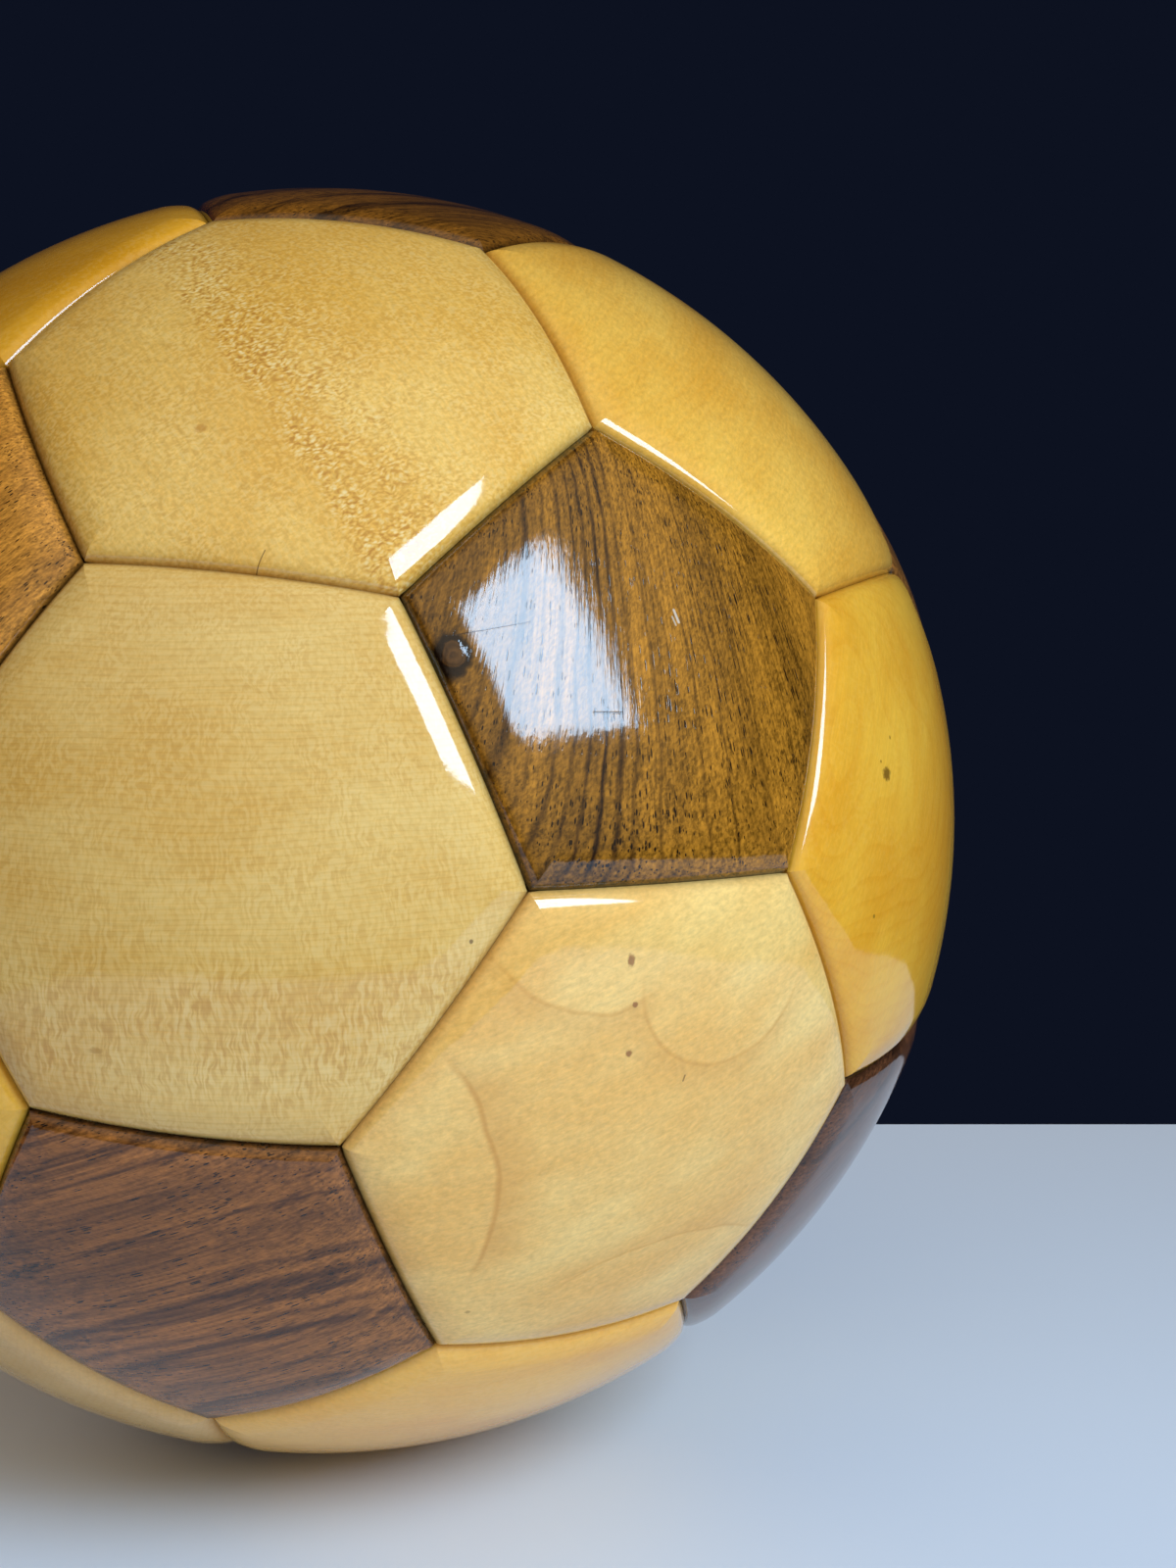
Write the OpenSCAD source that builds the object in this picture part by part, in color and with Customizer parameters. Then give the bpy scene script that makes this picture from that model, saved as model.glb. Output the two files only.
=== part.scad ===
// Wooden football: crowned pentagon and hexagon boards, mitred and glued edge to edge into a hollow ball.
// Millimetres, +Z up, origin at the ball's centre.

/* [Ball] */
// Diameter over the crowned faces of the panels
ball_d = 220; // [150:1:300]
// Thickness of a hexagon board at the middle of its crown
board_t = 24; // [14:0.5:36]

/* [Seams] */
// Radius that the edge of each panel is rounded over with
edge_round = 3.7; // [3:0.1:5]
// Slope of the rounded edge down in the seam
seam_slope = 53; // [40:1:60]
// Radius of the sanded shoulder between the rounded edge and the crown
shoulder_round = 15; // [10:0.5:20]
// Slope that the shoulder would have if it ran on down into the seam
shoulder_slope = 22; // [18:1:28]
// Angle of the soft breaks where the rounded edge, the shoulder and the crown meet
soft_break = 3; // [2:0.5:5]
// Width of the glue line between two mitred edges
glue_line = 0.1; // [0.05:0.05:0.3]
// How far the corners of each panel are eased where three panels meet
corner_ease = 0.2; // [0.1:0.05:0.6]

/* [Pose] */
// Bearing of the front pentagon, counted from +X
front_bearing = -57.8; // [-180:0.1:180]
// Height of the front pentagon above the ball's waist, as an angle
front_rise = 18.3; // [-90:0.1:90]
// Turn of the ball about the axis of the front pentagon
front_turn = 34.5; // [0:0.1:72]

/* [Hidden] */
$fa = 4;
$fs = 1;

// Angles between the axes of neighbouring panels of a truncated icosahedron
pentagon_to_pentagon = atan(2);
hexagon_to_hexagon = acos(sqrt(5) / 3);
pentagon_to_hexagon = acos(sqrt((5 + 2 * sqrt(5)) / 15));

// Every mitre plane passes through the ball's centre, at this angle from the axis of its panel
hexagon_mitre = hexagon_to_hexagon / 2;
pentagon_mitre = pentagon_to_hexagon - hexagon_mitre;

// Flat inner faces, whose edges meet inside the ball
ball_r = ball_d / 2;
hexagon_inner = ball_r - board_t;
pentagon_inner = hexagon_inner * cos(pentagon_mitre) / cos(hexagon_mitre);

// Centre of a rounding, out from the ball's centre and up from the mitre plane, that meets a wider one
function rounding_centre(radius, slope, wide_radius, wide_centre) =
    let (
        up = radius * sin(slope) + glue_line / 2,
        reach = sqrt(pow(wide_radius, 2) + pow(radius, 2) - 2 * wide_radius * radius * cos(soft_break))
    )
    [wide_centre[0] + sqrt(pow(reach, 2) - pow(up - wide_centre[1], 2)), up];
ball_centre = [0, 0];
shoulder_centre = rounding_centre(shoulder_round, shoulder_slope, ball_r, ball_centre);
edge_centre = rounding_centre(edge_round, seam_slope, shoulder_round, shoulder_centre);

// Reach of the cutting shapes, clear of the ball
clear_r = 1.5 * ball_r;

// Angle from the axis of a panel to its eased corners
function eased_corner(sides, mitre) =
    atan(tan(mitre) / cos(180 / sides)) - asin(corner_ease / ball_r);

// Bearings of the five panels in a ring around the front pentagon, in line with its corners or its sides
fifth = 360 / 5;
at_corners = [for (step = [0 : 4]) step * fifth];
at_sides = [for (bearing = at_corners) bearing + fifth / 2];

// Rings of panels around the front pentagon: angle from its axis, bearings, turn of each panel
pentagon_rings = [
    [0, [0], fifth / 2],
    [pentagon_to_pentagon, at_corners, 0],
    [180 - pentagon_to_pentagon, at_sides, fifth / 2],
    [180, [0], fifth / 2]
];
second_ring = pentagon_to_hexagon + hexagon_to_hexagon;
hexagon_rings = [
    [pentagon_to_hexagon, at_sides, 0],
    [second_ring, at_sides, 0],
    [180 - second_ring, at_corners, 0],
    [180 - pentagon_to_hexagon, at_corners, 0]
];
function ring_places(rings) = [
    for (ring = rings)
        for (bearing = ring[1])
            [ring[0], bearing, ring[2]]
];
pentagon_places = ring_places(pentagon_rings);
hexagon_places = ring_places(hexagon_rings);

function numbered(name, count) = [
    for (n = [1 : count])
        str(name, n < 10 ? "_0" : "_", n)
];
pentagon_nodes = numbered("walnut_pentagon", len(pentagon_places));
hexagon_nodes = numbered("maple_hexagon", len(hexagon_places));

// Waste outside a rounding, below the line on from the centre of the wider one that it meets
module waste_outside(radius, centre, wide_centre) {
    rise = (centre[1] - wide_centre[1]) / (centre[0] - wide_centre[0]);
    difference() {
        polygon([
            [centre[0], -clear_r],
            [clear_r, -clear_r],
            [clear_r, centre[1] + rise * (clear_r - centre[0])],
            centre
        ]);
        translate(centre)
            circle(radius);
    }
}

// Half section of the wood on one side of a seam: flat mitred face, round edge and shoulder, open to the crown
module edge_section() {
    difference() {
        translate([0, glue_line / 2])
            square(clear_r);
        waste_outside(shoulder_round, shoulder_centre, ball_centre);
        waste_outside(edge_round, edge_centre, shoulder_centre);
    }
}

// All wood on the panel's side of one mitre plane, whose edge faces the given bearing
module mitred_side(bearing, mitre) {
    rotate([0, mitre - 90, bearing])
        rotate_extrude()
            edge_section();
}

// Trims its child with the mitred sides of a panel, one after the other
module trimmed(sides, mitre, left) {
    if (left == 0)
        children();
    else
        intersection() {
            trimmed(sides, mitre, left - 1)
                children();
            mitred_side(left * 360 / sides, mitre);
        }
}

// Board with its axis along +Z: spherical crown, flat inner face, eased corners, mitred and rounded edges
module panel(sides, mitre, inner) {
    spread = tan(eased_corner(sides, mitre));
    trimmed(sides, mitre, sides)
        intersection() {
            sphere(ball_r);
            translate([0, 0, inner])
                cylinder(r1 = inner * spread, r2 = clear_r * spread, h = clear_r - inner);
        }
}

// Sets a panel in its place around the front pentagon, with the ball turned as it lies
module set_in_ball(place) {
    rotate([0, 90 - front_rise, front_bearing])
        rotate([0, 0, front_turn])
            rotate([0, place[0], place[1]])
                rotate([0, 0, place[2]])
                    children();
}

module walnut_pentagon(place) {
    color("#6b4526")
        set_in_ball(place)
            panel(sides = 5, mitre = pentagon_mitre, inner = pentagon_inner);
}

module maple_hexagon(place) {
    color("#d9b26a")
        set_in_ball(place)
            panel(sides = 6, mitre = hexagon_mitre, inner = hexagon_inner);
}

for (n = [0 : len(pentagon_places) - 1])
    walnut_pentagon(pentagon_places[n]);
for (n = [0 : len(hexagon_places) - 1])
    maple_hexagon(hexagon_places[n]);
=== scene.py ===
import math
import random

import bmesh
import bpy
from mathutils import Matrix, Vector


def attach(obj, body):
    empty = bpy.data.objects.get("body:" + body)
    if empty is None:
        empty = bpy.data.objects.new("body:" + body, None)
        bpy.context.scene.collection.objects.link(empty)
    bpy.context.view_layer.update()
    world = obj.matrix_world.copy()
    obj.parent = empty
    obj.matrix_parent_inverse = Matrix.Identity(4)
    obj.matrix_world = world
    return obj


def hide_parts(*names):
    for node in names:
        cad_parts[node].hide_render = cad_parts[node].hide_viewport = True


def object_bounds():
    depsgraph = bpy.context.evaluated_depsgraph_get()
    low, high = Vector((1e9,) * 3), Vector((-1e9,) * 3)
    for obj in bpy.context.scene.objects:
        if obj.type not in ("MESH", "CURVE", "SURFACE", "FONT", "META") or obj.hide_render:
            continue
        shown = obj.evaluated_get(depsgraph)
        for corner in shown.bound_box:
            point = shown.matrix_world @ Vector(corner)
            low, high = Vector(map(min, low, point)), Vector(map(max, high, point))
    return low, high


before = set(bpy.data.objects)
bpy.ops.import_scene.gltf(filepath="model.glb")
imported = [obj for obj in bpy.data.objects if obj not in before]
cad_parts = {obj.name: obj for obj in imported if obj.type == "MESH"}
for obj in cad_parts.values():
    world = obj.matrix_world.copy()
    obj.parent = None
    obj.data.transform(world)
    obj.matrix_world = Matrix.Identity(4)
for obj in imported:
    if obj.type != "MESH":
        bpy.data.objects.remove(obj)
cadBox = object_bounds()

print("frame loaded:", len(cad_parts), "boards")

millimetre = 0.001
micrometre = 0.000001
ballRadius = (cadBox[1].z - cadBox[0].z) / 2

# the ball's make-up, in metres and degrees, as in the solids but for the glue line
ball = {
    "boardThickness": 24 * millimetre,
    "edgeRound": 3.7 * millimetre,
    "seamSlope": 53,
    "shoulderRound": 15 * millimetre,
    "shoulderSlope": 22,
    "softBreak": 3,
    "glueLine": 0.02 * millimetre,  # filled with glue, so finer to the eye than the gap in the solids
    "cornerEase": 0.2 * millimetre,
    "frontBearing": -57.8,
    "frontRise": 18.3,
    "frontTurn": 34.5,
    "columns": 28,  # faces along one side of a board
    "edgeRows": 9,  # faces across a rounded edge
    "shoulderRows": 7,  # faces across a shoulder
    "crownRows": 14,  # faces from the edge of the crown to its middle
    "settleSteps": 8,  # rounds that a row of points takes to find its latitude
    "hipMatch": 0.0001,  # how nearly a spot lies midway between two sides
}


# places of the boards, as rings around the front pentagon

pentagonToPentagon = math.atan(2)
hexagonToHexagon = math.acos(math.sqrt(5) / 3)
pentagonToHexagon = math.acos(math.sqrt((5 + 2 * math.sqrt(5)) / 15))
hexagonMitre = hexagonToHexagon / 2
pentagonMitre = pentagonToHexagon - hexagonMitre
hexagonInner = ballRadius - ball["boardThickness"]
pentagonInner = hexagonInner * math.cos(pentagonMitre) / math.cos(hexagonMitre)
fifth = math.tau / 5
atCorners = [step * fifth for step in range(5)]
atSides = [bearing + fifth / 2 for bearing in atCorners]
secondRing = pentagonToHexagon + hexagonToHexagon
pentagonRings = [
    (0, [0], fifth / 2),
    (pentagonToPentagon, atCorners, 0),
    (math.pi - pentagonToPentagon, atSides, fifth / 2),
    (math.pi, [0], fifth / 2),
]
hexagonRings = [
    (pentagonToHexagon, atSides, 0),
    (secondRing, atSides, 0),
    (math.pi - secondRing, atCorners, 0),
    (math.pi - pentagonToHexagon, atCorners, 0),
]


def turned(axis, angle):
    return Matrix.Rotation(angle, 4, axis)


def boardPlaces(rings):
    asLaid = (
        turned("Z", math.radians(ball["frontBearing"]))
        @ turned("Y", math.radians(90 - ball["frontRise"]))
        @ turned("Z", math.radians(ball["frontTurn"]))
    )
    return [
        asLaid @ turned("Z", bearing) @ turned("Y", fromFront) @ turned("Z", turn)
        for fromFront, bearings, turn in rings
        for bearing in bearings
    ]


# section across a seam: x out from the ball's centre, y up from the mitre plane

def rounding(radius, slope, wideRadius, wideCentre):
    # centre of a rounding, its slope and the slope of the wider one where the two meet
    softBreak = math.radians(ball["softBreak"])
    up = radius * math.sin(math.radians(slope)) + ball["glueLine"] / 2
    rise = up - wideCentre.y
    reach = math.sqrt(wideRadius**2 + radius**2 - 2 * wideRadius * radius * math.cos(softBreak))
    centre = Vector((wideCentre.x + math.sqrt(reach**2 - rise**2), up))
    meeting = math.asin(rise / reach) - math.asin(radius * math.sin(softBreak) / reach)
    return centre, meeting - softBreak, meeting


def seamRows():
    # latitude above the mitre plane and reach of each row of points, from the seam up to the crown
    wide, narrow = ball["shoulderRound"], ball["edgeRound"]
    shoulder, shoulderEnd, _ = rounding(wide, ball["shoulderSlope"], ballRadius, Vector((0, 0)))
    edge, edgeEnd, shoulderStart = rounding(narrow, ball["seamSlope"], wide, shoulder)
    edgeStart = -math.radians(ball["seamSlope"])
    spans = [
        (edge, narrow, edgeStart, edgeEnd, 0, ball["edgeRows"]),
        (shoulder, wide, shoulderStart, shoulderEnd, 1, ball["shoulderRows"]),
    ]
    rows = []
    for centre, radius, start, end, firstRow, count in spans:
        for step in range(firstRow, count + 1):
            slope = start + (end - start) * step / count
            spot = centre + radius * Vector((math.cos(slope), math.sin(slope)))
            rows.append((math.atan2(spot.y, spot.x), spot.length))
    return rows


# shape of a board: laid out flat, x and y on a plane one unit from the ball's centre, z as reach from it

def sideShares(spot, sides, mitre):
    # how far a flat spot lies towards each side, 1 on the side itself, largest first
    bearings = [math.tau * side / sides for side in range(sides)]
    shares = [spot.x * math.cos(bearing) + spot.y * math.sin(bearing) for bearing in bearings]
    return sorted((share / math.tan(mitre) for share in shares), reverse=True)


def shapeBlank(name, sides, mitre, inner):
    corner = math.atan(math.tan(mitre) / math.cos(math.pi / sides))
    easedSpread = math.tan(corner - math.asin(ball["cornerEase"] / ballRadius))
    shape = bmesh.new()
    seamLayer = shape.verts.layers.float.new("seamDistance")
    bmesh.ops.create_circle(
        shape, segments=sides, radius=math.tan(corner), matrix=turned("Z", math.pi / sides - math.pi / 2)
    )
    bmesh.ops.subdivide_edges(shape, edges=shape.edges[:], cuts=ball["columns"] - 1)

    def layRow(verts, share, reach):
        for vert in verts:
            spot = vert.co.xy / sideShares(vert.co, sides, mitre)[0]
            spot *= min(share(spot.length), easedSpread / spot.length)
            vert.co = (spot.x, spot.y, reach)
            height = math.sin(mitre) * (1 - sideShares(spot, sides, mitre)[0])
            vert[seamLayer] = height / math.sqrt(1 + spot.length_squared) * reach / millimetre

    def atLatitude(latitude):
        def share(spread):
            found = 1
            for settle in range(ball["settleSteps"]):
                found = 1 - math.sin(latitude) / math.sin(mitre) * math.sqrt(1 + (found * spread) ** 2)
            return found
        return share

    def nextRow(edges):
        made = bmesh.ops.extrude_edge_only(shape, edges=edges)["geom"]
        verts = {part for part in made if isinstance(part, bmesh.types.BMVert)}
        madeEdges = [part for part in made if isinstance(part, bmesh.types.BMEdge)]
        return verts, [e for e in madeEdges if verts.issuperset(e.verts)]

    rows = seamRows()
    rim = shape.edges[:]
    layRow(shape.verts, atLatitude(rows[0][0]), rows[0][1])
    rowEdges = rim
    for latitude, reach in rows[1:]:
        rowVerts, rowEdges = nextRow(rowEdges)
        layRow(rowVerts, atLatitude(latitude), reach)
    crownShare = atLatitude(rows[-1][0])
    for row in range(1, ball["crownRows"]):
        kept = 1 - row / ball["crownRows"]
        rowVerts, rowEdges = nextRow(rowEdges)
        layRow(rowVerts, lambda spread: kept * crownShare(spread), ballRadius)
    rowVerts, rowEdges = nextRow(rowEdges)
    bmesh.ops.pointmerge(shape, verts=list(rowVerts), merge_co=(0, 0, ballRadius))
    for face in shape.faces:
        face.smooth = True
    for e in shape.edges:
        hips = [sideShares(v.co, sides, mitre) for v in e.verts]
        onHip = all(abs(hip[0] - hip[1]) < ball["hipMatch"] for hip in hips)
        e.smooth = not (onHip and min(v.co.z for v in e.verts) < ballRadius - micrometre)

    # mitred sides and the flat inner face
    innerVerts, innerEdges = nextRow(rim)
    innerGap = ball["glueLine"] / 2 / (inner * math.sin(mitre))
    layRow(innerVerts, lambda spread: 1 - innerGap, inner)
    bmesh.ops.contextual_create(shape, geom=innerEdges)
    for e in rim + innerEdges:
        e.smooth = False
    for vert in shape.verts:
        ray = Vector((vert.co.x, vert.co.y, 1))
        vert.co = ray * vert.co.z if vert in innerVerts else ray.normalized() * vert.co.z
    bmesh.ops.recalc_face_normals(shape, faces=shape.faces[:])
    mesh = bpy.data.meshes.new(name)
    shape.to_mesh(mesh)
    shape.free()
    return mesh


# small helpers for shader nodes

def rgb(hexCode):
    values = [int(hexCode[at:at + 2], 16) / 255 for at in (1, 3, 5)]
    return [v / 12.92 if v <= 0.04045 else ((v + 0.055) / 1.055) ** 2.4 for v in values] + [1]


def plug(tree, node, inputs):
    for key, value in inputs.items():
        if isinstance(value, bpy.types.NodeSocket):
            tree.links.new(value, node.inputs[key])
        else:
            node.inputs[key].default_value = value


def addNode(tree, kind, inputs, **settings):
    node = tree.nodes.new("ShaderNode" + kind)
    for key, value in settings.items():
        setattr(node, key, value)
    plug(tree, node, inputs)
    return node


def calc(tree, operation, a, b=0.0, c=0.0):
    return addNode(tree, "Math", {0: a, 1: b, 2: c}, operation=operation).outputs[0]


def vectors(tree, operation, a, b=(0, 0, 0)):
    return addNode(tree, "VectorMath", {0: a, 1: b}, operation=operation).outputs[0]


def span(tree, vector):
    return addNode(tree, "VectorMath", {0: vector}, operation="LENGTH").outputs["Value"]


def toward(tree, vector, axis):
    return addNode(tree, "VectorMath", {0: vector, 1: axis}, operation="DOT_PRODUCT").outputs["Value"]


def brighten(tree, color, factor):
    return addNode(tree, "VectorMath", {0: color, "Scale": factor}, operation="SCALE").outputs[0]


def noise(tree, vector, factors, detail=2.0, roughness=0.5, distortion=0.0):
    spot = vectors(tree, "MULTIPLY", vector, factors)
    sockets = {"Vector": spot, "Scale": 1.0, "Detail": detail, "Roughness": roughness, "Distortion": distortion}
    return addNode(tree, "TexNoise", sockets).outputs[0]


def bands(tree, along, detail=2.0, roughness=0.5):
    sockets = {"W": along, "Scale": 1.0, "Detail": detail, "Roughness": roughness}
    return addNode(tree, "TexNoise", sockets, noise_dimensions="1D").outputs[0]


def fade(tree, value, low, high, start=0.0, end=1.0):
    sockets = {"Value": value, "From Min": low, "From Max": high, "To Min": start, "To Max": end}
    return addNode(tree, "MapRange", sockets, interpolation_type="SMOOTHSTEP").outputs[0]


def blend(tree, factor, a, b):
    return addNode(tree, "Mix", {0: factor, 6: a, 7: b}, data_type="RGBA").outputs[2]


socketKinds = {"v": "NodeSocketVector", "f": "NodeSocketFloat", "c": "NodeSocketColor"}


def newGroup(name, inputs, outputs):
    tree = bpy.data.node_groups.new(name, "ShaderNodeTree")
    for way, sockets in (("INPUT", inputs), ("OUTPUT", outputs)):
        for socket, kind in sockets.items():
            tree.interface.new_socket(name=socket, in_out=way, socket_type=socketKinds[kind])
    start = tree.nodes.new("NodeGroupInput")
    end = tree.nodes.new("NodeGroupOutput")

    def put(socket, value):
        tree.links.new(value, end.inputs[socket])
    return tree, start.outputs, put


def useGroup(tree, group, inputs):
    node = tree.nodes.new("ShaderNodeGroup")
    node.node_tree = group
    plug(tree, node, inputs)
    return node.outputs


# wood figure: x along the grain, y across it, z out of the face, in millimetres
# a noise is given as its pace along these three for each millimetre, then its detail, roughness and distortion
# a fade is given as the values that it runs between, then what it gives at each end

timber = {
    "cutStep": (17.3, 31.7, 11.9),  # from one board to the next in the log
    "wander": ((0.013, 0.03, 0.03),),
    "poreOdds": (0.6, 1.0),
    "smallestPore": 0.01,
    "poreEdge": (0.7, 1.1, 1.0, 0.0),
}


def centred(tree, value):
    return calc(tree, "SUBTRACT", value, 0.5)


def shifted(tree, grain, seed):
    # every board is cut from another spot
    return vectors(tree, "ADD", grain, brighten(tree, timber["cutStep"], seed))


def tilted(tree, grain, tilt):
    # y from pith to bark, z along the growth rings
    return addNode(tree, "VectorRotate", {"Vector": grain, "Angle": calc(tree, "MULTIPLY", tilt, -1.0)},
                   rotation_type="X_AXIS").outputs[0]


def growthReach(tree, radial, wood, pith, drift):
    # distance from the pith, with the slow wander of a real trunk
    wander = centred(tree, noise(tree, wood, *timber["wander"]))
    parts = addNode(tree, "SeparateXYZ", {0: radial}).outputs
    depth = calc(tree, "ADD", calc(tree, "MULTIPLY_ADD", wander, drift, parts[1]), pith)
    square = calc(tree, "MULTIPLY_ADD", depth, depth, calc(tree, "MULTIPLY", parts[2], parts[2]))
    return calc(tree, "SQRT", square)


def pores(tree, wood, factors, largest, amount):
    # open vessels as dashes along the grain
    cells = addNode(tree, "TexVoronoi", {"Vector": vectors(tree, "MULTIPLY", wood, factors), "Scale": 1.0}).outputs
    odds = addNode(tree, "SeparateColor", {0: cells["Color"]}).outputs[0]
    size = fade(tree, odds, *timber["poreOdds"], timber["smallestPore"], largest)
    size = calc(tree, "MULTIPLY", size, amount)
    return fade(tree, calc(tree, "DIVIDE", cells["Distance"], size), *timber["poreEdge"])


walnutGrain = {
    "rings": (3.0, 0.6),  # detail and roughness
    "ringShare": 0.55,  # of a streak's darkness, the rest is lengthwise
    "lengthwise": ((0.016, 0.75, 0.75), 3.0, 0.6),
    "streakFade": (0.44, 0.66),
    "drawnFade": (0.3, 0.6, 0.6, 1.0),
    "wash": ((0.02, 0.05, 0.05),),
    "washFade": (0.3, 0.7, 0.82, 1.12),
    "fibre": ((0.07, 2.2, 2.2), 3.0, 0.65),
    "fibreShade": 2.3,
    "rippleTurn": 0.5,
    "ripple": ((1.1, 2.4, 2.4), 2.0, 0.6, 0.4),
    "rippleFade": (0.36, 0.64, -0.5, 0.5),
    "crowd": ((0.03, 0.2, 0.2),),
    "crowdFade": (0.35, 0.65, 0.5, 1.3),
    "shortPores": ((0.4, 3.7, 3.7), 0.46),  # pace and largest size
    "longPores": ((0.09, 2.6, 2.6), 0.26),
    "longPoreShare": 0.8,
    "poreColor": "#140a04",
    "poreShare": 0.93,
    "poreHeight": -6.0,  # heights are in micrometres
    "relief": ((0.07, 1.1, 1.1), 3.0, 0.7),
    "reliefHeight": 26.0,
    "sway": ((0.04, 0.02, 0.02),),
    "swayReach": 4.0,
    "fray": ((0.1, 1.1, 1.1),),
    "frayReach": 0.8,
}


def makeWalnutFigure():
    tree, given, put = newGroup(
        "walnutFigure",
        {"Grain": "v", "Tilt": "f", "Light": "c", "Dark": "c", "Pith": "f", "Ring": "f", "Drift": "f",
         "Streak": "f", "Mark": "f", "Figure": "f", "Pores": "f", "Seed": "f"},
        {"Color": "c", "Height": "f"},
    )
    plan = walnutGrain
    wood = shifted(tree, given["Grain"], given["Seed"])
    reach = growthReach(tree, tilted(tree, given["Grain"], given["Tilt"]), wood, given["Pith"], given["Drift"])
    years = calc(tree, "ADD", calc(tree, "DIVIDE", reach, given["Ring"]), given["Seed"])
    broad = calc(tree, "MULTIPLY", bands(tree, years, *plan["rings"]), plan["ringShare"])
    lengthwise = noise(tree, wood, *plan["lengthwise"])
    mixed = calc(tree, "MULTIPLY_ADD", lengthwise, 1 - plan["ringShare"], broad)
    streak = calc(tree, "MULTIPLY", fade(tree, mixed, *plan["streakFade"]), given["Streak"])
    drawn = calc(tree, "MULTIPLY", given["Mark"], fade(tree, lengthwise, *plan["drawnFade"]))
    wash = fade(tree, noise(tree, wood, *plan["wash"]), *plan["washFade"])
    color = blend(tree, calc(tree, "MAXIMUM", streak, drawn), given["Light"], given["Dark"])
    fibre = centred(tree, noise(tree, wood, *plan["fibre"]))
    slanted = addNode(tree, "VectorRotate", {"Vector": wood, "Angle": plan["rippleTurn"]},
                      rotation_type="Z_AXIS").outputs[0]
    ripple = fade(tree, noise(tree, slanted, *plan["ripple"]), *plan["rippleFade"])
    figured = calc(tree, "MULTIPLY_ADD", ripple, given["Figure"], wash)
    color = brighten(tree, color, calc(tree, "MULTIPLY_ADD", fibre, plan["fibreShade"], figured))
    crowd = fade(tree, noise(tree, wood, *plan["crowd"]), *plan["crowdFade"])
    crowd = calc(tree, "MULTIPLY", crowd, given["Pores"])
    short = pores(tree, wood, *plan["shortPores"], crowd)
    long = pores(tree, wood, *plan["longPores"], crowd)
    pore = calc(tree, "MAXIMUM", short, calc(tree, "MULTIPLY", long, plan["longPoreShare"]))
    put("Color", blend(tree, calc(tree, "MULTIPLY", pore, plan["poreShare"]), color, rgb(plan["poreColor"])))
    relief = calc(tree, "MULTIPLY", centred(tree, noise(tree, wood, *plan["relief"])), plan["reliefHeight"])
    put("Height", calc(tree, "MULTIPLY_ADD", pore, plan["poreHeight"], relief))
    return tree


mapleGrain = {
    "lateStart": (0.55, 0.95),  # late wood in the course of a year
    "lateEnd": (0.95, 1.0, 1.0, 0.0),
    "cloud": ((0.03, 0.06, 0.06), 3.0),
    "cloudFade": (0.3, 0.7),
    "sway": ((0.3, 0.3, 0.3),),
    "swayStep": (2.2, 0, 0),
    "patch": ((0.15, 0.15, 0.15),),
    "patchFade": (0.35, 0.65, 0.55, 1.0),
    "curl": ((1, 1, 1), 1.0),
    "curlFade": (0.34, 0.66, -0.5, 0.5),
    "curlQuarter": (0.0, 1.0, 0.55, 1.0),  # less curl where the cut is not along the rays
    "rayFade": (0.1, 0.8, 0.55, -0.45),
    "fibre": ((0.12, 2.6, 2.6),),
    "fibreShade": 0.2,
    "fibreHeight": 4.0,  # micrometres
    "grains": ((0.8, 1.4, 1.4), 3.0, 0.65),
    "fleckDark": "#b9782a",
    "fleckDarkShare": -1.3,
    "fleckBright": "#f8dc9c",
}


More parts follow.
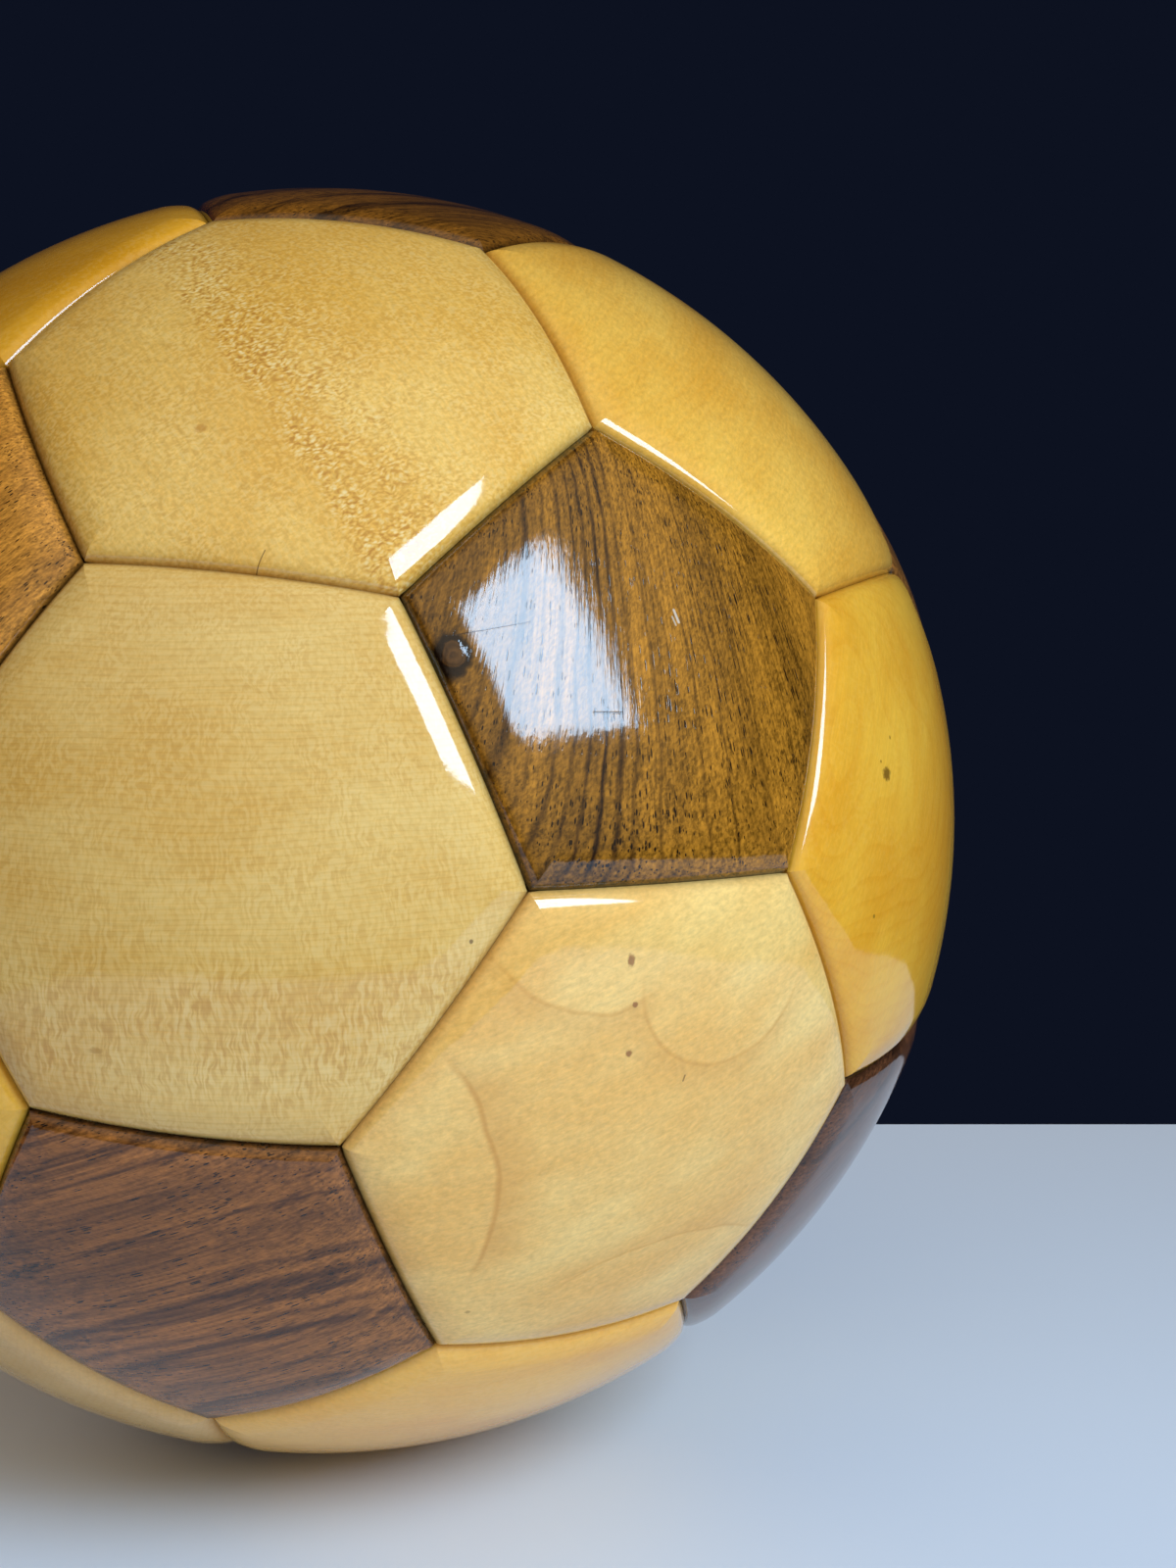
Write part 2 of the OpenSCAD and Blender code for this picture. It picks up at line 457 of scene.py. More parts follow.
def makeMapleFigure():
    tree, given, put = newGroup(
        "mapleFigure",
        {"Grain": "v", "Tilt": "f", "Quarter": "f", "Pale": "c", "Deep": "c", "Pith": "f", "Ring": "f", "Drift": "f",
         "Lines": "f", "Rays": "v", "Fleck": "f", "Flash": "f", "Cloud": "f", "Mottle": "f", "Seed": "f"},
        {"Color": "c", "Height": "f"},
    )
    plan = mapleGrain
    wood = shifted(tree, given["Grain"], given["Seed"])
    radial = tilted(tree, given["Grain"], given["Tilt"])
    reach = growthReach(tree, radial, wood, given["Pith"], given["Drift"])
    year = calc(tree, "FRACT", calc(tree, "ADD", calc(tree, "DIVIDE", reach, given["Ring"]), given["Seed"]))
    late = calc(tree, "MULTIPLY", fade(tree, year, *plan["lateStart"]), fade(tree, year, *plan["lateEnd"]))
    late = calc(tree, "MULTIPLY", late, given["Lines"])
    cloud = fade(tree, noise(tree, wood, *plan["cloud"]), *plan["cloudFade"])
    tone = calc(tree, "MULTIPLY_ADD", cloud, given["Cloud"], late)
    color = blend(tree, tone, given["Pale"], given["Deep"])
    sway = centred(tree, noise(tree, wood, *plan["sway"]))
    spread = vectors(tree, "ADD", shifted(tree, radial, given["Seed"]), brighten(tree, plan["swayStep"], sway))
    spread = vectors(tree, "MULTIPLY", spread, given["Rays"])
    rays = addNode(tree, "TexVoronoi", {"Vector": spread, "Scale": 1.0}).outputs["Distance"]
    patchy = fade(tree, noise(tree, wood, *plan["patch"]), *plan["patchFade"])
    curl = fade(tree, noise(tree, spread, *plan["curl"]), *plan["curlFade"])
    curl = calc(tree, "MULTIPLY", curl, fade(tree, given["Quarter"], *plan["curlQuarter"]))
    flash = calc(tree, "MULTIPLY", given["Quarter"], given["Flash"])
    fleck = calc(tree, "MULTIPLY", fade(tree, rays, *plan["rayFade"]), flash)
    fleck = calc(tree, "MULTIPLY", calc(tree, "MULTIPLY_ADD", curl, given["Fleck"], fleck), patchy)
    fibre = centred(tree, noise(tree, wood, *plan["fibre"]))
    grains = centred(tree, noise(tree, wood, *plan["grains"]))
    mottled = calc(tree, "MULTIPLY_ADD", grains, given["Mottle"], 1.0)
    color = brighten(tree, color, calc(tree, "MULTIPLY_ADD", fibre, plan["fibreShade"], mottled))
    color = blend(tree, calc(tree, "MULTIPLY", fleck, plan["fleckDarkShare"]), color, rgb(plan["fleckDark"]))
    put("Color", blend(tree, fleck, color, rgb(plan["fleckBright"])))
    put("Height", calc(tree, "MULTIPLY", fibre, plan["fibreHeight"]))
    return tree


# marks in the wood, placed on the face: x right and y up as seen from outside, in millimetres from the middle

markShapes = {
    "pinWobble": ((1.7, 1.7, 1.7),),
    "pinWobbleShare": 0.9,
    "pinFade": (0.5, 1.1, 1.0, 0.0),
    "arcWobble": ((0.07, 0.07, 0.07),),
    "arcWobbleReach": 3.0,
    "arcGlowWidths": 9.0,  # darker wood outside a ring, in widths of its line
    "arcGlow": 0.5,
    "arcGlowStart": (-0.3, 0.0),
    "arcEnds": (0.6, 1.0, 1.0, 0.0),
    "scratchCore": 0.3,  # share of the width that is fully cut
    "knotWobble": ((0.45, 0.45, 0.45), 3.0),
    "knotWobbleShare": 0.8,
    "knotRimInside": (0.5, 0.75),
    "knotRimOutside": (0.95, 1.4, 1.0, 0.0),
    "knotRings": 15.0,
    "knotRingDepth": 0.18,
    "knotRingTone": 0.5,
    "knotCore": (0.7, 1.1, 1.0, 0.0),
    "knotCoreShare": 0.8,
    "knotDome": (0.0, 1.1, 200.0, 0.0),
    "strength": 0.8,
}


def flatOffset(tree, face, spot):
    return vectors(tree, "MULTIPLY", vectors(tree, "SUBTRACT", face, spot), (1, 1, 0))


def makePin():
    tree, given, put = newGroup("pin", {"Face": "v", "At": "v", "Size": "v"}, {"Mask": "f"})
    away = span(tree, vectors(tree, "DIVIDE", flatOffset(tree, given["Face"], given["At"]), given["Size"]))
    wobble = centred(tree, noise(tree, given["Face"], *markShapes["pinWobble"]))
    away = calc(tree, "MULTIPLY_ADD", wobble, markShapes["pinWobbleShare"], away)
    put("Mask", fade(tree, away, *markShapes["pinFade"]))
    return tree


def makeArc():
    # a growth ring that shows as part of a circle
    tree, given, put = newGroup(
        "arc", {"Face": "v", "Centre": "v", "Radius": "f", "Width": "f", "Middle": "v", "Reach": "f"}, {"Mask": "f"})
    wobble = centred(tree, noise(tree, given["Face"], *markShapes["arcWobble"]))
    away = calc(tree, "SUBTRACT", span(tree, flatOffset(tree, given["Face"], given["Centre"])), given["Radius"])
    away = calc(tree, "MULTIPLY_ADD", wobble, markShapes["arcWobbleReach"], away)
    line = fade(tree, calc(tree, "ABSOLUTE", away), 0.0, given["Width"], 1.0, 0.0)
    glowWidth = calc(tree, "MULTIPLY", given["Width"], markShapes["arcGlowWidths"])
    glow = fade(tree, away, 0.0, glowWidth, markShapes["arcGlow"], 0.0)
    glow = calc(tree, "MULTIPLY", glow, fade(tree, away, *markShapes["arcGlowStart"]))
    near = calc(tree, "DIVIDE", span(tree, flatOffset(tree, given["Face"], given["Middle"])), given["Reach"])
    ends = fade(tree, near, *markShapes["arcEnds"])
    put("Mask", calc(tree, "MULTIPLY", calc(tree, "MAXIMUM", line, glow), ends))
    return tree


def makeScratch():
    tree, given, put = newGroup("scratch", {"Face": "v", "From": "v", "To": "v", "Width": "f"}, {"Mask": "f"})
    path = vectors(tree, "SUBTRACT", given["To"], given["From"])
    offset = flatOffset(tree, given["Face"], given["From"])
    share = calc(tree, "DIVIDE", toward(tree, offset, path), toward(tree, path, path))
    share = calc(tree, "MINIMUM", calc(tree, "MAXIMUM", share, 0.0), 1.0)
    away = span(tree, vectors(tree, "SUBTRACT", offset, brighten(tree, path, share)))
    core = calc(tree, "MULTIPLY", given["Width"], markShapes["scratchCore"])
    put("Mask", fade(tree, away, core, given["Width"], 1.0, 0.0))
    return tree


def makeKnot():
    # dark rim with turned-in rings inside, and a low dome under the lacquer
    tree, given, put = newGroup(
        "knot", {"Face": "v", "At": "v", "Size": "v"}, {"Rim": "f", "Core": "f", "Height": "f"})
    wobble = centred(tree, noise(tree, given["Face"], *markShapes["knotWobble"]))
    away = span(tree, vectors(tree, "DIVIDE", flatOffset(tree, given["Face"], given["At"]), given["Size"]))
    away = calc(tree, "MULTIPLY_ADD", wobble, markShapes["knotWobbleShare"], away)
    inside = fade(tree, away, *markShapes["knotRimInside"])
    rim = calc(tree, "MULTIPLY", inside, fade(tree, away, *markShapes["knotRimOutside"]))
    rings = calc(tree, "SINE", calc(tree, "MULTIPLY", away, markShapes["knotRings"]))
    rings = calc(tree, "MULTIPLY_ADD", rings, markShapes["knotRingDepth"], markShapes["knotRingTone"])
    core = fade(tree, away, *markShapes["knotCore"])
    put("Rim", calc(tree, "MAXIMUM", rim, calc(tree, "MULTIPLY", core, rings)))
    put("Core", core)
    put("Height", fade(tree, away, *markShapes["knotDome"]))
    return tree


finish = {
    # where the colour darkens near a seam: the line partly as the dark glue line and partly as painted shade in the
    # groove, the band as painted shade beside the seam
    "seamLine": (0.05, 0.45),  # millimetres from the seam
    "seamShadeBandFrom": 0.1,
    "footSlope": -0.9,  # the foot of the edge ends where this brings it to nothing
    "footHeight": -260.0,  # heights are in micrometres
    "wideWaves": ((0.12, 0.12, 0.12), 1.0),
    "wideHeight": 60.0,
    "closeWaves": ((0.7, 0.7, 0.7), 1.0),
    "closeHeight": 8.0,
    "roughness": 0.07,
    "ior": 1.53,
}


def makeSeamGlueAndShade():
    # darkens the colour near a seam, with a steeper foot to the rounded edge: the narrow line is partly the real dark
    # glue line and partly painted shade down in the groove, the wider band is painted shade beside the seam
    tree, given, put = newGroup(
        "seamGlueAndShade", {"Color": "c", "Distance": "f", "Line": "f", "ShadeBand": "f", "Width": "f"},
        {"Color": "c", "Height": "f"})
    # painted shade near the seam, with the real glue line inside the narrow line
    line = fade(tree, given["Distance"], *finish["seamLine"], given["Line"], 1.0)
    paintedShadeBand = fade(tree, given["Distance"], finish["seamShadeBandFrom"], given["Width"], given["ShadeBand"], 1.0)
    put("Color", brighten(tree, given["Color"], calc(tree, "MULTIPLY", line, paintedShadeBand)))
    foot = calc(tree, "MULTIPLY_ADD", given["Distance"], finish["footSlope"], 1.0)
    foot = calc(tree, "MAXIMUM", foot, 0.0)
    put("Height", calc(tree, "MULTIPLY", calc(tree, "MULTIPLY", foot, foot), finish["footHeight"]))
    return tree


def makeLacquer():
    # gentle waves of a hand-sanded, brushed lacquer, in micrometres
    tree, given, put = newGroup("lacquer", {"Face": "v"}, {"Height": "f"})
    wide = centred(tree, noise(tree, given["Face"], *finish["wideWaves"]))
    close = centred(tree, noise(tree, given["Face"], *finish["closeWaves"]))
    close = calc(tree, "MULTIPLY", close, finish["closeHeight"])
    put("Height", calc(tree, "MULTIPLY_ADD", wide, finish["wideHeight"], close))
    return tree


walnutFigure = makeWalnutFigure()
mapleFigure = makeMapleFigure()
pin = makePin()
arc = makeArc()
scratch = makeScratch()
knot = makeKnot()
seamGlueAndShade = makeSeamGlueAndShade()
lacquer = makeLacquer()
print("wood figure and marks ready")


def boardAxes(place):
    # right, up and out as seen from outside, at the middle of the crown
    out = place.to_3x3() @ Vector((0, 0, 1))
    up = (Vector((0, 0, 1)) - out * out.z).normalized()
    return up.cross(out), up, out


def onBoard(tree, spot, x, y, z):
    turn = Matrix((x, y, z)).transposed().to_euler("XYZ")
    sockets = {"Vector": spot, "Location": z * ballRadius, "Rotation": turn, "Scale": (millimetre,) * 3}
    return addNode(tree, "Mapping", sockets, vector_type="TEXTURE").outputs[0]


def boardVectors(tree, place, look):
    # grain and face coordinates, the spot on the ball and the way from pith to bark
    right, up, out = boardAxes(place)
    lean, tilt = math.radians(look["lean"]), math.radians(look["tilt"])
    grain = up * math.cos(lean) + right * math.sin(lean)
    across = out.cross(grain)
    radial = across * math.cos(tilt) + out * math.sin(tilt)
    spot = addNode(tree, "TexCoord", {}).outputs["Object"]
    return onBoard(tree, spot, grain, across, out), onBoard(tree, spot, right, up, out), spot, radial


def flat(spot):
    return (spot[0], spot[1], 0)


def addMarks(tree, face, color, height, marks):
    for mark in marks:
        kind, strength = mark["kind"], mark.get("strength", markShapes["strength"])
        if kind == "pin":
            mask = useGroup(tree, pin, {"Face": face, "At": flat(mark["at"]), "Size": (*mark["size"], 1)})["Mask"]
        elif kind == "arc":
            mask = useGroup(tree, arc, {
                "Face": face, "Centre": flat(mark["centre"]), "Radius": mark["radius"], "Width": mark["width"],
                "Middle": flat(mark["middle"]), "Reach": mark["reach"]})["Mask"]
        elif kind == "scratch":
            mask = useGroup(tree, scratch, {
                "Face": face, "From": flat(mark["from"]), "To": flat(mark["to"]), "Width": mark["width"]})["Mask"]
            height = calc(tree, "MULTIPLY_ADD", mask, -mark["depth"], height)
        else:
            eye = useGroup(tree, knot, {"Face": face, "At": flat(mark["at"]), "Size": (*mark["size"], 1)})
            core = calc(tree, "MULTIPLY", eye["Core"], markShapes["knotCoreShare"])
            color = blend(tree, core, color, rgb(mark["core"]))
            height = calc(tree, "ADD", height, eye["Height"])
            mask = eye["Rim"]
        color = blend(tree, calc(tree, "MULTIPLY", mask, strength), color, rgb(mark["color"]))
    return color, height


def finishBoard(material, color, height, face, look):
    tree = material.node_tree
    color, height = addMarks(tree, face, color, height, look["marks"])
    seam = addNode(tree, "Attribute", {}, attribute_name="seamDistance").outputs["Fac"]
    # darkens the colour near the seams: the dark glue line and painted shade
    shaded = useGroup(tree, seamGlueAndShade, {
        "Color": color, "Distance": seam, "Line": look["seamLine"], "ShadeBand": look["seamBand"],
        "Width": look["seamWidth"]})
    waves = useGroup(tree, lacquer, {"Face": face})["Height"]
    surface = calc(tree, "ADD", calc(tree, "ADD", height, shaded["Height"]), waves)
    bump = addNode(tree, "Bump", {"Strength": 1.0, "Distance": micrometre, "Height": surface}).outputs[0]
    shader = addNode(tree, "BsdfPrincipled", {
        "Base Color": shaded["Color"], "Normal": bump, "Roughness": finish["roughness"], "IOR": finish["ior"]})
    tree.links.new(shader.outputs[0], addNode(tree, "OutputMaterial", {}).inputs[0])


def newMaterial(name):
    material = bpy.data.materials.new(name)
    material.use_nodes = True
    material.node_tree.nodes.clear()
    return material


def fanned(tree, grain, middle, rate):
    # grain that spreads towards one end of the board, from a line at the given place across it
    parts = addNode(tree, "SeparateXYZ", {0: grain}).outputs
    spread = calc(tree, "MULTIPLY", parts[0], rate)
    across = calc(tree, "MULTIPLY_ADD", calc(tree, "SUBTRACT", parts[1], middle), spread, parts[1])
    return addNode(tree, "CombineXYZ", {0: parts[0], 1: across, 2: parts[2]}).outputs[0]


def drawnStreaks(tree, grain, tilt, streaks):
    # single dark streaks along the grain: place across it, half width, strength
    sway = centred(tree, noise(tree, grain, *walnutGrain["sway"]))
    fray = centred(tree, noise(tree, grain, *walnutGrain["fray"]))
    depth = toward(tree, grain, (0, math.cos(tilt), math.sin(tilt)))
    frayed = calc(tree, "MULTIPLY_ADD", fray, walnutGrain["frayReach"], depth)
    across = calc(tree, "MULTIPLY_ADD", sway, walnutGrain["swayReach"], frayed)
    drawn = 0.0
    for place, halfWidth, strength in streaks:
        away = calc(tree, "ABSOLUTE", calc(tree, "SUBTRACT", across, place))
        drawn = calc(tree, "MAXIMUM", drawn, fade(tree, away, 0.0, halfWidth, strength, 0.0))
    return drawn


def makeWalnut(name, look, place):
    material = newMaterial(name)
    tree = material.node_tree
    grain, face, _, _ = boardVectors(tree, place, look)
    grain = fanned(tree, grain, *look["fan"])
    tilt = math.radians(look["tilt"])
    wood = useGroup(tree, walnutFigure, {
        "Grain": grain, "Tilt": tilt, "Light": rgb(look["light"]), "Dark": rgb(look["dark"]), "Pith": look["pith"],
        "Ring": look["ring"], "Drift": look["drift"], "Streak": look["streak"],
        "Mark": drawnStreaks(tree, grain, tilt, look["streaks"]), "Figure": look["figure"],
        "Pores": look["pores"], "Seed": look["seed"]})
    finishBoard(material, wood["Color"], wood["Height"], face, look)
    return material


def makeMaple(name, look, place):
    material = newMaterial(name)
    tree = material.node_tree
    grain, face, spot, radial = boardVectors(tree, place, look)
    slant = toward(tree, vectors(tree, "NORMALIZE", spot), radial)
    before, after = look["flashWidth"]
    quarter = calc(tree, "MULTIPLY", fade(tree, slant, -before, 0.0), fade(tree, slant, 0.0, after, 1.0, 0.0))
    wood = useGroup(tree, mapleFigure, {
        "Grain": grain, "Tilt": math.radians(look["tilt"]), "Quarter": quarter, "Pale": rgb(look["pale"]),
        "Deep": rgb(look["deep"]), "Pith": look["pith"], "Ring": look["ring"], "Drift": look["drift"],
        "Lines": look["lines"], "Rays": look["rays"], "Fleck": look["fleck"], "Flash": look["flash"],
        "Cloud": look["cloud"], "Mottle": look["mottle"], "Seed": look["seed"]})
    finishBoard(material, wood["Color"], wood["Height"], face, look)
    return material


# walnut boards: lean is clockwise from upright as seen from outside, tilt turns the growth rings
# streaks have their place across the grain, half width and strength, fan its middle and rate, sizes in millimetres
walnutStock = {
    "lean": 0, "tilt": 20, "pith": 90, "ring": 7, "drift": 5, "seed": 3.1,
    "light": "#8f5c28", "dark": "#3a2110", "streak": 0.75, "figure": 0.3, "pores": 1.0, "streaks": [], "fan": (0, 0),
    "tones": [{"light": "#8f5c28"}, {"light": "#9c6526", "streak": 0.5}, {"light": "#7d4e2a", "dark": "#2c1810"},
              {"light": "#b87632", "dark": "#6a3d18", "streak": 0.45}],
    # seam darkness: the line partly the dark glue line and partly painted shade, the band painted shade, over this
    # width in millimetres
    "marks": [], "seamLine": 0.3, "seamBand": 0.5, "seamWidth": 1.4,
}
walnutLooks = {
    1: {"lean": 9, "tilt": 10, "light": "#a0681c", "dark": "#261206", "seed": 4.4,
        "streak": 0.35, "figure": 0.55, "fan": (8, 0.012),
        "streaks": [(4.8, 0.7, 0.8), (6.8, 0.9, 0.9), (8.8, 0.8, 1.0), (10.8, 0.8, 0.9), (12.6, 0.6, 0.85),
                    (14.8, 0.9, 0.8), (10.5, 8.0, 0.5), (17.6, 0.6, 0.6), (20.8, 1.5, 0.9), (21.0, 6.0, 0.5),
                    (24.0, 1.0, 0.7), (27.5, 0.8, 0.6), (36.0, 28.0, 0.65), (1.5, 0.5, 0.6),
                    (-4.5, 0.35, 0.5), (-8.4, 0.4, 0.6), (-14.2, 0.35, 0.5), (-20.0, 0.4, 0.4), (-27.0, 5.0, 0.3)],
        "marks": [
            {"kind": "knot", "at": (-30.4, 3.0), "size": (2.2, 3.0), "core": "#6e4622", "color": "#0a0402",
             "strength": 0.95},
            {"kind": "scratch", "from": (-12.1, -6.8), "to": (-7.9, -7.1), "width": 0.18, "depth": 14,
             "color": "#2a180c"},
            {"kind": "scratch", "from": (-29.5, 5.7), "to": (-19.2, 6.6), "width": 0.12, "depth": 9,
             "color": "#3a2412"},
            {"kind": "scratch", "from": (3.7, 7.2), "to": (4.1, 5.4), "width": 0.3, "depth": 5, "color": "#d8c9b4"},
            {"kind": "scratch", "from": (3.2, 6.2), "to": (3.5, 5.0), "width": 0.22, "depth": 5, "color": "#c9b79c"},
        ]},
    2: {"lean": 60, "light": "#6a4026", "seed": 8.3},
    3: {"lean": 20, "seed": 11.7},
    4: {"lean": 88, "light": "#7d4c14", "dark": "#2c1706", "seed": 14.2, "streak": 0.9},
    5: {"lean": 40, "light": "#d08a34", "dark": "#7c481a", "seed": 17.9, "streak": 0.45},
    6: {"lean": 67, "tilt": -45, "light": "#9c5f28", "dark": "#321608", "seed": 21.5,
        "streak": 0.85, "ring": 2.8, "drift": 2,
        "streaks": [(11.0, 0.6, 0.8), (0.4, 1.6, 0.9), (3.5, 0.7, 0.6), (-3.9, 1.0, 0.6), (-7.8, 0.7, 0.5),
                    (8.0, 6.0, 0.5), (15.0, 6.0, 0.5)]},
}

# maple boards, with the same turns
mapleStock = {
    "lean": 90, "tilt": 0, "pith": 120, "ring": 1.1, "drift": 7, "seed": 2.7,
    "pale": "#e9c374", "deep": "#d8a448", "lines": 0.12, "rays": (1.3, 0.7, 1.4), "fleck": 0.25, "flash": 0.25,
    "flashWidth": (0.16, 0.16), "cloud": 0.7, "mottle": 0.16, "marks": [],
    "tones": [{"pale": "#e9c072", "deep": "#daa852"}, {"pale": "#f0be58", "deep": "#e09e30", "mottle": 0.3},
              {"pale": "#f3d38f", "deep": "#e6b968"}, {"pale": "#f2b63c", "deep": "#e0931c", "flash": 0.0},
              {"pale": "#e9bb68", "deep": "#dca242", "rays": (1.7, 1.0, 1.7), "flash": 0.4}],
    # seam darkness: the line partly the dark glue line and partly painted shade, the band painted shade, over this
    # width in millimetres
    "seamLine": 0.82, "seamBand": 0.88, "seamWidth": 1.8,
}
mapleLooks = {
    1: {"lean": 34, "tilt": 77, "pith": 400, "ring": 0.8, "pale": "#f2b63c", "deep": "#e0931c", "seed": 5.2,
        "lines": 0.14, "fleck": 0.12, "flash": 0.0, "marks": [
            {"kind": "pin", "at": (-19.6, 8.9), "size": (1.5, 1.2), "color": "#5d3a10"},
            {"kind": "pin", "at": (-16.7, 14.3), "size": (0.35, 0.4), "color": "#8a5c18"},
            {"kind": "pin", "at": (-21.0, 11.0), "size": (0.3, 0.3), "color": "#8a5c18"},
            {"kind": "pin", "at": (-24.8, -12.4), "size": (0.4, 0.4), "color": "#8a6a20"}]},
    2: {"lean": 60, "tilt": 50, "pale": "#f2ba50", "deep": "#e29a2c", "seed": 9.6, "mottle": 0.55, "fleck": 0.12},
    3: {"lean": -30, "tilt": -4.2, "pale": "#eebc60", "deep": "#e0a23c", "seed": 13.3, "rays": (2.0, 1.15, 2.0),
        "fleck": 0.7, "flash": 0.85, "flashWidth": (0.2, 0.03), "mottle": 0.55, "marks": [
            {"kind": "pin", "at": (-11.9, -16.9), "size": (1.0, 0.8), "color": "#b9741c", "strength": 0.6},
            {"kind": "scratch", "from": (-3.7, -39.0), "to": (-2.2, -36.3), "width": 0.12, "depth": 3,
             "color": "#6b4a1c"}]},
    4: {"lean": 90, "tilt": 12.8, "pale": "#e9be6e", "deep": "#daa248", "seed": 16.8, "rays": (1.9, 0.42, 2.4),
        "fleck": 0.55, "flash": 0.2, "flashWidth": (0.15, 0.15), "ring": 0.85, "lines": 0.28, "marks": [
            {"kind": "pin", "at": (-14.4, -26.1), "size": (1.1, 0.6), "color": "#b07a2c", "strength": 0.55},
            {"kind": "pin", "at": (36.1, -11.1), "size": (0.3, 0.4), "color": "#6b4a1c"}]},
    5: {"lean": 70, "tilt": 88, "pale": "#f6cb7a", "deep": "#eaac52", "seed": 19.4, "fleck": 0.14, "flash": 0.0,
        "lines": 0.0, "cloud": 0.8, "mottle": 0.6, "marks": [
            {"kind": "arc", "centre": (-62.9, -10.1), "radius": 40.6, "width": 0.9, "middle": (-24.0, -1.0),
             "reach": 22.0, "color": "#c98430", "strength": 0.62},
            {"kind": "arc", "centre": (-10.6, 42.0), "radius": 19.3, "width": 0.7, "middle": (-15.0, 24.0),
             "reach": 15.0, "color": "#c98430", "strength": 0.42},
            {"kind": "arc", "centre": (10.2, 27.3), "radius": 14.9, "width": 0.7, "middle": (9.0, 14.0),
             "reach": 21.0, "color": "#c98430", "strength": 0.42},
            {"kind": "arc", "centre": (11.0, -51.8), "radius": 33.7, "width": 0.5, "middle": (9.0, -18.5),
             "reach": 22.0, "color": "#d08c34", "strength": 0.45},
            {"kind": "pin", "at": (-6.5, 29.7), "size": (0.65, 1.0), "color": "#8a4c1a"},
            {"kind": "pin", "at": (-5.5, 23.4), "size": (0.5, 0.5), "color": "#8a4c1a"},
            {"kind": "pin", "at": (-5.8, 16.3), "size": (0.6, 0.6), "color": "#8a4c1a"},
            {"kind": "scratch", "from": (4.2, 11.6), "to": (4.0, 10.8), "width": 0.2, "depth": 2, "color": "#7a5424"},
            {"kind": "pin", "at": (-21.7, -27.9), "size": (0.5, 0.4), "color": "#9a7434", "strength": 0.6}]},
    8: {"lean": 30, "tilt": 60, "pale": "#e8a42a", "deep": "#cf8a14", "seed": 23.1},
    10: {"lean": 80, "tilt": 60, "pale": "#ffc158", "deep": "#f2a63e", "seed": 27.7},
    15: {"lean": 70, "tilt": 40, "pale": "#efc078", "deep": "#dca650", "seed": 31.4},
}
hiddenSeed = 32  # for the boards that have no look of their own
hiddenTurns = {"lean": (0, 180), "tilt": (-20, 90), "seed": (20, 90)}
chance = random.Random(hiddenSeed)


def lookOf(number, stock, looks):
    if number in looks:
        return {**stock, **looks[number]}
    turn = {key: chance.uniform(*ends) for key, ends in hiddenTurns.items()}
    return {**stock, **turn, **chance.choice(stock["tones"])}


def buildBoards(kind, sides, mitre, inner, rings, makeWood, stock, looks):
    blank = shapeBlank(f"{kind}Blank", sides, mitre, inner)
    for number, place in enumerate(boardPlaces(rings), 1):
        name = f"{kind}Board{number:02d}"
        mesh = blank.copy()
        mesh.name = name
        mesh.transform(place)
        board = bpy.data.objects.new(name, mesh)
        bpy.context.scene.collection.objects.link(board)
        mesh.materials.append(makeWood(f"{kind}Lacquered{number:02d}", lookOf(number, stock, looks), place))
        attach(board, "root")
        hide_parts(f"{kind}_{'pentagon' if sides == 5 else 'hexagon'}_{number:02d}")
    bpy.data.meshes.remove(blank)
    print(kind, "boards shaped:", number)


buildBoards("walnut", 5, pentagonMitre, pentagonInner, pentagonRings,
            makeWalnut, walnutStock, walnutLooks)
buildBoards("maple", 6, hexagonMitre, hexagonInner, hexagonRings,
            makeMaple, mapleStock, mapleLooks)


# floor, light and camera

studio = {
    "floorFrom": (-0.25, -0.42),
    "floorTo": (0.38, 0.194),
    "floorCornerRound": 0.15,
    "floorCornerFaces": 24,
    "floorThickness": 0.03,
    "floorEdgeRound": 0.003,
    "floorEdgeFaces": 4,
    "floorColor": "#dee9f8",
    "floorRoughness": 0.6,
    "domeFrom": (0.25, -0.7, 0.67),
    "domeFade": (0.35, 1.0),
    "domeBright": 0.85,
    "domeColor": "#fff1de",
    "backdropColor": "#0d1220",
    "window": {  # back is the way that a lamp's back faces
        "at": (0.597, -0.677, 0.539), "back": (0.889, 0.064, 0.453), "turn": -15.5, "size": (0.53, 0.476),
        "radiance": 17.5, "color": "#bfe0ff", "mirrored": True},
    "fill": {  # lights the ball from behind
        "at": (-0.35, 1.0, 0.12), "back": (-0.35, 1.0, 0.12), "turn": 0, "size": (1.0, 0.6),
        "radiance": 2.5, "color": "#fff6ec", "mirrored": False},
    "cameraAt": (0.0453, -0.4050, 0.0559),
    "cameraDrop": 7,
    "cameraLens": 52.0,
    "cameraSensor": 36,
    "cameraClip": 0.01,
}


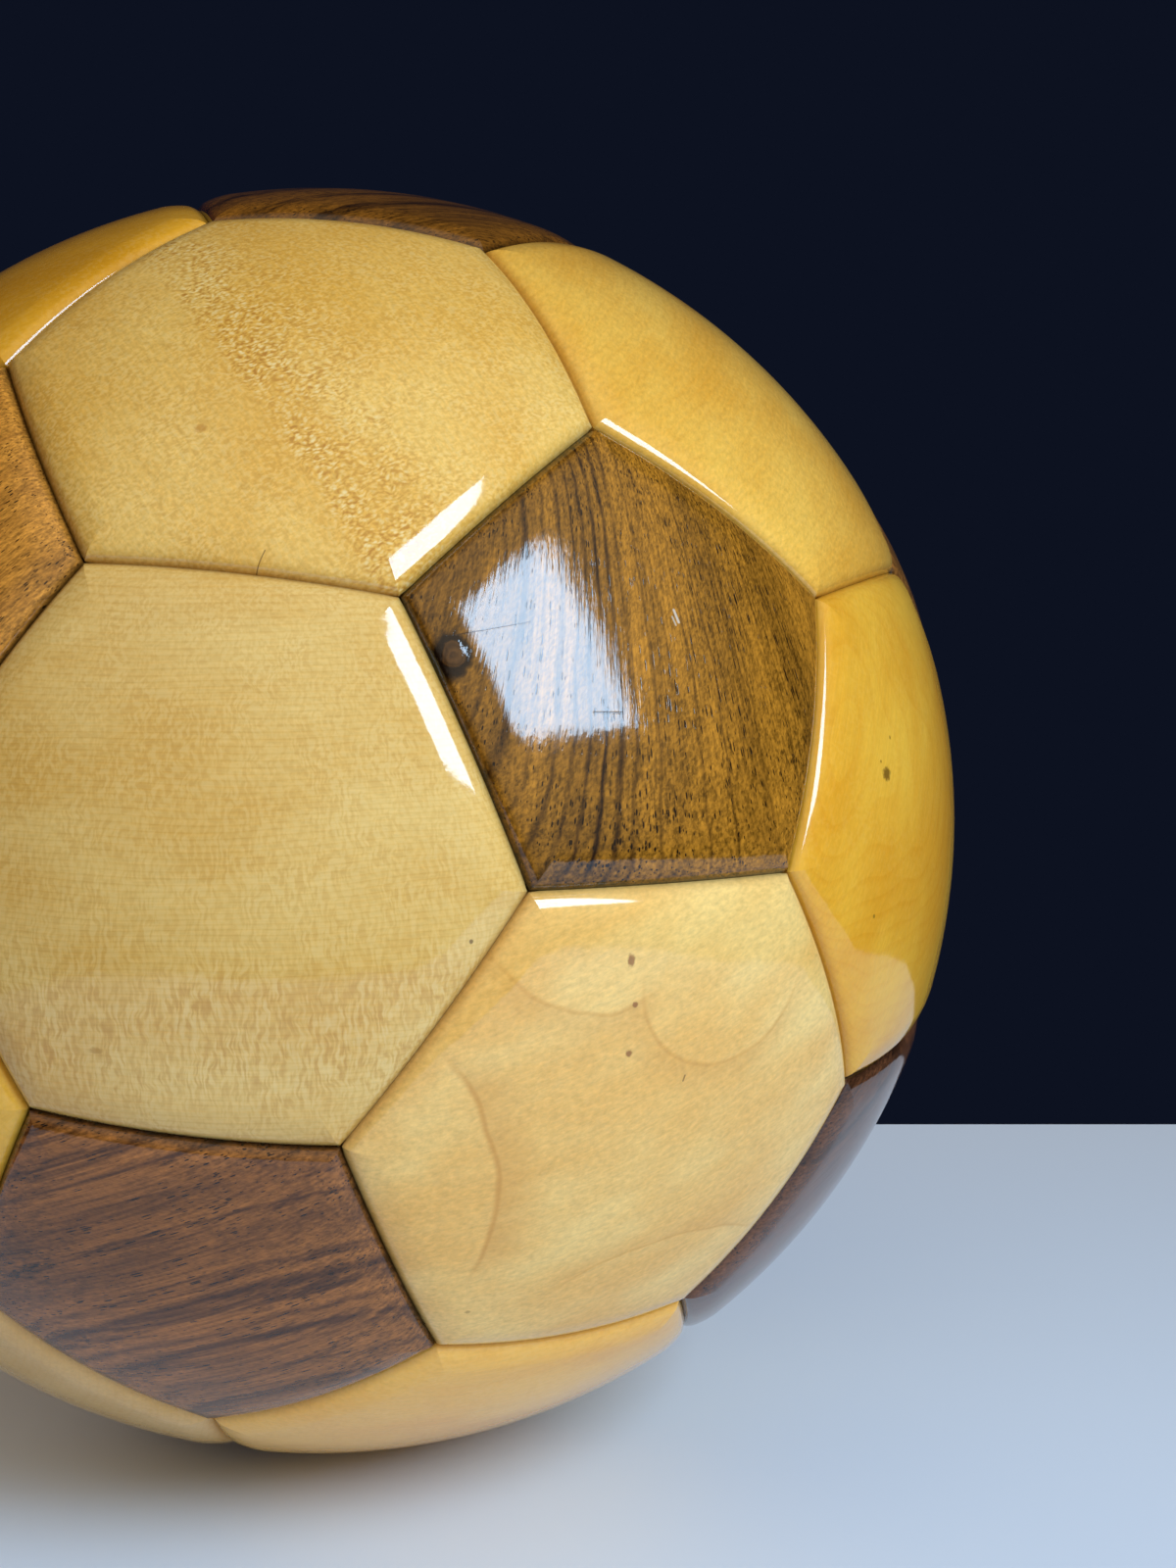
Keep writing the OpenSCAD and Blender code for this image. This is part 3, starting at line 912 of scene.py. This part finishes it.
def layFloor():
    low = Vector((*studio["floorFrom"], -ballRadius - studio["floorThickness"]))
    high = Vector((*studio["floorTo"], -ballRadius))
    shape = bmesh.new()
    bmesh.ops.create_cube(shape, size=1)
    bmesh.ops.scale(shape, vec=high - low, verts=shape.verts[:])
    bmesh.ops.translate(shape, vec=(low + high) / 2, verts=shape.verts[:])
    upright = [e for e in shape.edges if abs(e.verts[0].co.z - e.verts[1].co.z) > studio["floorEdgeRound"]]
    bmesh.ops.bevel(shape, geom=upright, offset=studio["floorCornerRound"], affect="EDGES",
                    segments=studio["floorCornerFaces"], profile=0.5, material=-1)
    rims = [e for e in shape.edges if abs(e.verts[0].co.z - e.verts[1].co.z) < micrometre]
    bmesh.ops.bevel(shape, geom=rims, offset=studio["floorEdgeRound"], affect="EDGES",
                    segments=studio["floorEdgeFaces"], profile=0.5, material=-1)
    mesh = bpy.data.meshes.new("floor")
    shape.to_mesh(mesh)
    shape.free()
    floor = bpy.data.objects.new("floor", mesh)
    bpy.context.scene.collection.objects.link(floor)
    material = newMaterial("paleFloor")
    tree = material.node_tree
    shader = addNode(tree, "BsdfPrincipled", {
        "Base Color": rgb(studio["floorColor"]), "Roughness": studio["floorRoughness"]})
    tree.links.new(shader.outputs[0], addNode(tree, "OutputMaterial", {}).inputs[0])
    mesh.materials.append(material)


def hangLights():
    world = bpy.data.worlds.new("softDome")
    bpy.context.scene.world = world
    world.use_nodes = True
    tree = world.node_tree
    tree.nodes.clear()
    aim = toward(tree, addNode(tree, "TexCoord", {}).outputs["Generated"], studio["domeFrom"])
    share = fade(tree, aim, *studio["domeFade"])
    color = blend(tree, share, rgb(studio["backdropColor"]), rgb(studio["domeColor"]))
    strength = calc(tree, "MULTIPLY_ADD", share, studio["domeBright"] - 1, 1.0)
    dome = addNode(tree, "Background", {"Color": color, "Strength": strength})
    tree.links.new(dome.outputs[0], addNode(tree, "OutputWorld", {}).inputs[0])

    for name in ("window", "fill"):
        plan = studio[name]
        light = bpy.data.lights.new(name, "AREA")
        light.shape = "RECTANGLE"
        light.size, light.size_y = plan["size"]
        light.energy = plan["radiance"] * math.pi * light.size * light.size_y
        light.color = rgb(plan["color"])[:3]
        lamp = bpy.data.objects.new(name, light)
        bpy.context.scene.collection.objects.link(lamp)
        lamp.location = plan["at"]
        facing = Vector(plan["back"]).to_track_quat("Z", "Y").to_matrix().to_4x4()
        lamp.rotation_euler = (facing @ turned("Z", math.radians(plan["turn"]))).to_euler()
        lamp.visible_camera = False
        lamp.visible_glossy = plan["mirrored"]


def setCamera():
    lens = bpy.data.cameras.new("camera")
    lens.lens = studio["cameraLens"]
    lens.sensor_width = studio["cameraSensor"]
    lens.clip_start = studio["cameraClip"]
    camera = bpy.data.objects.new("camera", lens)
    bpy.context.scene.collection.objects.link(camera)
    camera.location = studio["cameraAt"]
    camera.rotation_euler = (math.radians(90 - studio["cameraDrop"]), 0, 0)
    bpy.context.scene.camera = camera


layFloor()
hangLights()
setCamera()
bpy.context.scene.view_settings.view_transform = "Standard"
print("floor, light and camera set")
